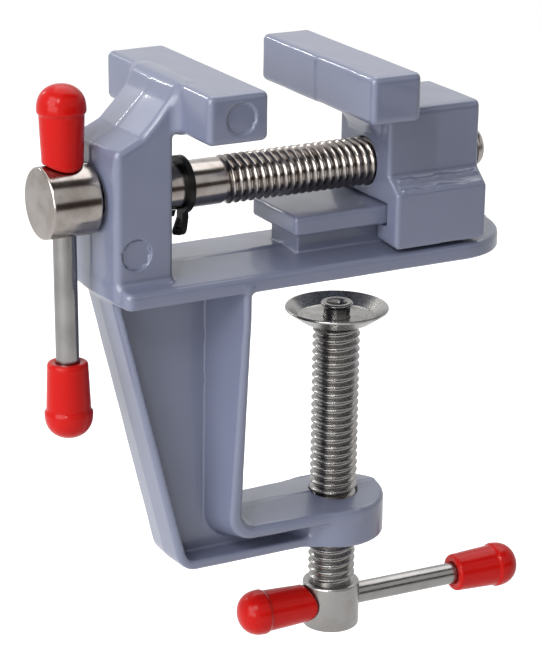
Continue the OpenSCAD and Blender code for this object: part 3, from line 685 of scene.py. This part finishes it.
def clampScrew():   # head, thread and nose
    s = clampSizes
    origin, axis = (0, 0, clampLow[2]), (0, 0, 1)
    head, neck, root = s["headRadius"], s["headLength"], threadForm["crest"] - threadForm["depth"]
    nose, flare, hollow, top = s["nose"], s["flare"], s["hollow"], clampHigh[2] - clampLow[2]
    threadStart, shoulder = neck + s["relief"], neck + s["threadLength"]
    threadEnd = shoulder - s["relief"]
    below = rounded([[0, 0, 0], [head, 0, s["headEdge"]], [head, neck, s["headEdge"]], [root, neck, 0],
                     [root, threadStart, 0]])
    # the hollow nose, riveted over to hold the pad
    above = rounded([[root, threadEnd, 0], [root, shoulder, 0.2], [nose, shoulder, 0], [nose, top - 1.1, 0],
                     [flare, top - 0.4, 0.2], [flare - 0.3, top, 0.2], [hollow + 0.4, top - 0.1, 0.2],
                     [hollow, top - 0.9, 0], [hollow, top - 3.5, 0], [0, top - 4.2, 0]])
    piece = meshObject("clampScrewTurned", *together(turned(below, origin, axis, closed=False),
                                                     threaded(threadStart, threadEnd, origin, axis),
                                                     turned(above, origin, axis, closed=False)))
    bored(piece, clampHead, levelAxis, screwSizes["barBore"], 2 * head)
    fitted(piece, "clamp_screw", zinc, "clamp_screw")


padSizes = {"hole": 2.66, "floor": 7.6, "sheet": 0.7, "dish": 2.1, "rim": 0.35}


def clampPad():   # a dished disc of sheet
    s = padSizes
    rim, top, under = padHigh[0], padHigh[2], padLow[2]
    inner, floor, rimUnder = rim - s["rim"], top - s["dish"], top - s["sheet"]
    outline = rounded([[s["hole"], under, 0.1], [s["floor"] - s["sheet"], under, 0.8],
                       [inner, rimUnder, 0.2], [rim, rimUnder + 0.25, 0.15], [rim, top, 0.25],
                       [inner, top, 0.1], [s["floor"], floor, 0.8], [s["hole"], floor, 0.15]])
    piece = meshObject("clampPadPressed", *turned(outline, (0, 0, 0), (0, 0, 1)))
    fitted(piece, "clamp_pad", pressedZinc, "clamp_pad", 50)


capSizes = {
    "length": 14.7, "socket": 10, "bar": 2.2, "mouth": 3.75, "body": 4.22, "bulb": 4.58, "dome": 5.2,
    "lip": 0.05, "lipPlace": 0.7, "lipWidth": 0.45, "stepStart": 0.35, "stepLength": 0.55,
    "tip": 0.6, "domeStart": 0.4, "swelling": 0.7, "domePowers": (2.4, 2.2), "settled": 2.5,
}


# Cap along its axis: a rolled lip, a slow swelling, a step up to the bulb, then a rounded end
def capOutline():
    s = capSizes
    length, tip = s["length"], s["tip"]
    t = np.concatenate([[0, 0.12, 0.35], np.linspace(s["lipPlace"], length - tip, 60),
                        length - tip * np.linspace(1, 0, 14)[1:] ** 2])
    bulbStart = length - s["dome"]
    swell = s["mouth"] + (s["body"] - s["mouth"]) * (t / bulbStart) ** s["swelling"]
    lip = s["lip"] * np.exp(-((t - s["lipPlace"]) / s["lipWidth"]) ** 2)
    step = np.clip((t - bulbStart + s["stepStart"]) / s["stepLength"], 0, 1)
    step = step * step * (3 - 2 * step)
    swell = swell + lip + (s["bulb"] - s["body"]) * step
    u = np.clip((t - bulbStart - s["domeStart"]) / (s["dome"] - s["domeStart"]), 0, 1)
    first, second = s["domePowers"]
    radius = np.minimum(swell, s["bulb"]) * (1 - u ** first) ** (1 / second)
    radius[:3] -= [0.35, 0.12, 0.02]   # the lip's rounding
    outside = np.stack([radius, t], 1)
    inside = np.array([[0, s["socket"]], [s["bar"], s["socket"]], [s["bar"], 0.3], [s["bar"] + 0.25, 0]])
    return np.concatenate([inside, outside])


# The soft mouth of a cap that rests on a screw's round head has sunk round it: each point near the mouth
# goes down by the fall of the head's circle at its distance from the middle, less further from the mouth
def sunkOnHead(points, origin, axis, across, headRadius):
    offset = np.clip((points - origin) @ across, -capSizes["mouth"], capSizes["mouth"])
    fall = headRadius - np.sqrt(headRadius ** 2 - offset ** 2)
    height = (points - origin) @ axis
    share = np.clip(1 - height / capSizes["settled"], 0, 1)
    return points - (fall * share * share * (3 - 2 * share))[:, None] * axis


# A bar through a screw's head, with a cap on each end: caps gives each cap's word and where its mouth is
# along the bar from the head's middle, and resting is the cap that touches the head
def handle(name, node, middle, along, caps, resting, screwAxis, headRadius, material):
    radius, depth = capSizes["bar"], capSizes["socket"]
    across = np.cross(along, screwAxis)
    for word, place in caps.items():
        origin, outward = middle + along * place, along * np.sign(place)
        points, quads = turned(capOutline(), origin, outward, closed=False)
        if word == resting:
            points = sunkOnHead(points, origin, outward, across, headRadius)
        cap = meshObject(name + word + "Cap", points, quads)
        fitted(cap, f"{node}_{word.lower()}_cap", vinyl, node, 70)
    first, last = (middle + along * place for place in caps.values())
    ahead = (last - first) / np.linalg.norm(last - first)
    length = np.linalg.norm(last - first) + 2 * depth
    outline = rounded([[0, 0, 0], [radius, 0, 0.3], [radius, length, 0.3], [0, length, 0]])
    rod = meshObject(name + "Rod", *turned(outline, first - ahead * depth, ahead, closed=False))
    fitted(rod, node, material, node)


capPlaces = {"main": {"Lower": -30.77, "Upper": 6.93}, "clamp": {"Left": -5.95, "Right": 28.75}}
mainScrew()
clampScrew()
clampPad()
handle("mainBar", "main_bar", mainHead, uprightAxis, capPlaces["main"], "Upper",
       (1, 0, 0), screwSizes["headRadius"], uprightBar)
handle("clampBar", "clamp_bar", clampHead, levelAxis, capPlaces["clamp"], "Left",
       (0, 0, 1), clampSizes["headRadius"], levelBar)
print("turned pieces made")

ringSizes = {
    "earStart": 6.0, "earEnd": 9.1, "earHalf": 2.2, "tip": 0.8, "longer": 1.2, "bend": 1.3,
    "twist": math.radians(-20), "edge": 0.12,
}


# The near ear has been bent towards the column and twisted: the further out along the ear, the more
def bentEar(ring):
    s = ringSizes
    middle = np.array([0, 0, screwSizes["height"]])
    points = np.array([v.co for v in ring.verts]) / millimetre - middle
    tips = points[(np.hypot(points[:, 1], points[:, 2]) > s["earEnd"] - s["tip"]) & (points[:, 1] < 0)]
    out = tips.mean(0) * [0, 1, 1]
    out /= np.linalg.norm(out)
    side = np.cross(out, (1, 0, 0))
    thick = points[:, 0].mean()
    for height in np.linspace(s["earStart"], s["earEnd"], 6)[:-1]:
        bmesh.ops.bisect_plane(ring, geom=[*ring.verts, *ring.edges, *ring.faces], dist=1e-7,
                               plane_co=(middle + out * height) * millimetre, plane_no=out)
    mesh = bpy.data.meshes.new("retainingRingStamped")
    ring.to_mesh(mesh)
    flat = np.empty(len(mesh.vertices) * 3)
    mesh.vertices.foreach_get("co", flat)
    points = flat.reshape(-1, 3) / millimetre - middle
    height, across, off = points @ out, points @ side, points[:, 0] - thick
    share = np.maximum(height - s["earStart"], 0) / (s["earEnd"] - s["earStart"])
    turn = s["twist"] * share
    moved = ((height + s["longer"] * share)[:, None] * out
             + (off * np.sin(turn) + across * np.cos(turn))[:, None] * side)
    moved[:, 0] = thick + off * np.cos(turn) - across * np.sin(turn) - s["bend"] * share
    near = (height >= s["earStart"]) & (np.abs(across) < s["earHalf"])
    points = (np.where(near[:, None], moved, points) + middle) * millimetre
    mesh.vertices.foreach_set("co", points.ravel())
    return mesh


# The retaining ring is a copy of the CAD solid with its stamped edges rounded
def retainingRing():
    ring = bmesh.new()
    ring.from_mesh(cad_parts["retaining_ring"].data)
    bmesh.ops.remove_doubles(ring, verts=ring.verts, dist=1e-6)
    bmesh.ops.dissolve_limit(ring, angle_limit=math.radians(3), verts=ring.verts, edges=ring.edges)
    piece = inScene("retainingRingStamped", bentEar(ring))
    ring.free()
    edge = piece.modifiers.new("stampedEdge", "BEVEL")
    edge.width, edge.segments = ringSizes["edge"] * millimetre, 2
    edge.limit_method, edge.angle_limit = "ANGLE", math.radians(40)
    edge.harden_normals = True
    fitted(piece, "retaining_ring", blackSteel, "main_screw")


retainingRing()
print("ring made")

# Floor, backdrop, lights and camera: from here on lengths are metres where a note says nothing else
stage = {
    "floorDrop": 36, "floorSize": 6.0,   # the drop in millimetres clears the clamp screw at its lowest
    "glow": 0.46, "paper": "#F4F4F4", "plainFrom": 0.3, "plainAt": 0.75, "dim": 0.2, "card": "#3A2A20",
}
# cards that only the metal sees: one at table height, one high over the front, one low on the paper
cards = (   # name, middle, half its width, half its height
    ("frontCard", (0.3, -0.5, 0.02), (0.5, 0.12, 0), (0, -0.02, 0.1)),
    ("highCard", (0.28, -0.2, 0.5), (0.4, 0, 0), (0, 0.11, 0.06)),
    ("lowCard", (0.1, -0.75, -0.06), (0.12, 0, 0), (0, 0.4, 0)),
)
lamps = (   # name, place, width, height, power in watts
    ("topBox", (0.3, 0.3, 1.0), 1.2, 1.2, 9.0),
    ("leftBox", (-1.0, -0.22, 0.66), 0.8, 0.8, 13.0),
    ("lowBox", (-1.1, -0.5, 0.12), 1.0, 0.4, 7.0),
    ("edgeBox", (-0.5, -0.52, 0.62), 0.035, 0.25, 2.3),
    ("ridgeBox", (-0.4, 1.0, 0.55), 0.03, 0.14, 1.1),
)
target = np.array([-14.66, 0, -13.74]) * millimetre   # what the camera and the lamps point at
view = {   # angles in degrees, the distance and the lens in millimetres
    "turn": -29.2, "rise": 18.88, "roll": 0.79, "distance": 517.16, "lens": 143.76,
}


def plainSheet(name, centre, side, up, material):
    centre, side, up = (np.array(v, float) for v in (centre, side, up))
    corners = [centre + a * side + b * up for a, b in ((-1, -1), (1, -1), (1, 1), (-1, 1))]
    piece = meshObject(name, np.array(corners) / millimetre, [[0, 1, 2, 3]], weld=False)
    piece.data.materials.append(material)
    return piece


# Two sockets: 1 for the camera's own rays, and 1 for those and for what shows in metal or through glass
def lookingRays(tree):
    ray = addNode(tree, "ShaderNodeLightPath").outputs
    seen = addNode(tree, "ShaderNodeMath", {"operation": "MAXIMUM"},
                   links={0: ray["Is Camera Ray"], 1: ray["Is Glossy Ray"]})
    also = addNode(tree, "ShaderNodeMath", {"operation": "MAXIMUM"},
                   links={0: seen.outputs[0], 1: ray["Is Transmission Ray"]})
    return ray["Is Camera Ray"], also.outputs[0]


# Seamless white paper: matt and lit by the lamps, with a glow only for what looks straight at it
def whitePaper():
    material, tree, place = newMaterial("whitePaper")
    camera, looking = lookingRays(tree)
    strength = addNode(tree, "ShaderNodeMath", {"operation": "MULTIPLY"}, {1: stage["glow"]}, {0: camera})
    glow = addNode(tree, "ShaderNodeEmission", links={"Strength": strength.outputs[0]})
    matt = addNode(tree, "ShaderNodeBsdfDiffuse", values={"Color": linear(stage["paper"])})
    near = addNode(tree, "ShaderNodeAddShader", links={0: glow.outputs[0], 1: matt.outputs[0]})
    # past the lamps' reach the paper is plain white to whatever looks at it
    reach = addNode(tree, "ShaderNodeVectorMath", {"operation": "LENGTH"}, links={0: place})
    share = addNode(tree, "ShaderNodeMapRange", links={"Value": reach.outputs["Value"]},
                    values={"From Min": stage["plainFrom"], "From Max": stage["plainAt"]})
    plain = addNode(tree, "ShaderNodeEmission", links={"Strength": looking})
    both = addNode(tree, "ShaderNodeMixShader",
                   links={0: share.outputs["Result"], 1: near.outputs[0], 2: plain.outputs[0]})
    # from below the paper isn't there, so the underside can be looked at
    below = addNode(tree, "ShaderNodeNewGeometry").outputs["Backfacing"]
    clear = addNode(tree, "ShaderNodeBsdfTransparent")
    paper = addNode(tree, "ShaderNodeMixShader", links={0: below, 1: both.outputs[0], 2: clear.outputs[0]})
    addNode(tree, "ShaderNodeOutputMaterial", links={"Surface": paper.outputs[0]})
    return material


def darkCard():
    material, tree, _ = newMaterial("darkCard")
    matt = addNode(tree, "ShaderNodeBsdfDiffuse", values={"Color": linear(stage["card"])})
    addNode(tree, "ShaderNodeOutputMaterial", links={"Surface": matt.outputs[0]})
    return material


def studioWorld():   # dim light from all round, white to whatever looks at it
    world = bpy.data.worlds.new("studio")
    bpy.context.scene.world = world
    world.use_nodes = True
    tree = world.node_tree
    tree.nodes.clear()
    _, looking = lookingRays(tree)
    dim, white = (addNode(tree, "ShaderNodeBackground",
                          values={"Color": linear("#FFFFFF"), "Strength": level})
                  for level in (stage["dim"], 1))
    either = addNode(tree, "ShaderNodeMixShader",
                     links={0: looking, 1: dim.outputs[0], 2: white.outputs[0]})
    addNode(tree, "ShaderNodeOutputWorld", links={"Surface": either.outputs[0]})


def makeLamp(name, place, width, height, power):
    light = bpy.data.lights.new(name, "AREA")
    light.shape, light.size, light.size_y, light.energy = "RECTANGLE", width, height, power
    lamp = bpy.data.objects.new(name, light)
    bpy.context.scene.collection.objects.link(lamp)
    lamp.location = place
    lamp.rotation_euler = (Vector(target) - Vector(place)).to_track_quat("-Z", "Y").to_euler()


def makeCamera():
    turn, rise, roll = (math.radians(view[k]) for k in ("turn", "rise", "roll"))
    back = np.array([math.sin(turn) * math.cos(rise), -math.cos(turn) * math.cos(rise), math.sin(rise)])
    right = np.cross([0, 0, 1], back)
    right /= np.linalg.norm(right)
    up = np.cross(back, right)
    right, up = math.cos(roll) * right + math.sin(roll) * up, -math.sin(roll) * right + math.cos(roll) * up
    place = target + back * view["distance"] * millimetre
    data = bpy.data.cameras.new("camera")
    data.lens, data.sensor_width, data.sensor_fit = view["lens"], 36, "AUTO"
    data.clip_start, data.clip_end = 0.01, 20
    camera = bpy.data.objects.new("camera", data)
    bpy.context.scene.collection.objects.link(camera)
    camera.matrix_world = Matrix([*zip(right, up, back, place), (0, 0, 0, 1)])
    bpy.context.scene.camera = camera


half, floorHeight = stage["floorSize"] / 2, cadLow[2] - stage["floorDrop"] * millimetre
plainSheet("floor", (0, 0, floorHeight), (half, 0, 0), (0, half, 0), whitePaper())
cardPaper = darkCard()
for name, centre, side, up in cards:
    card = plainSheet(name, centre, side, up, cardPaper)
    card.visible_camera = card.visible_shadow = card.visible_diffuse = False
studioWorld()
for lamp in lamps:
    makeLamp(*lamp)
makeCamera()
bpy.context.scene.view_settings.view_transform = "Standard"
print("scene ready")
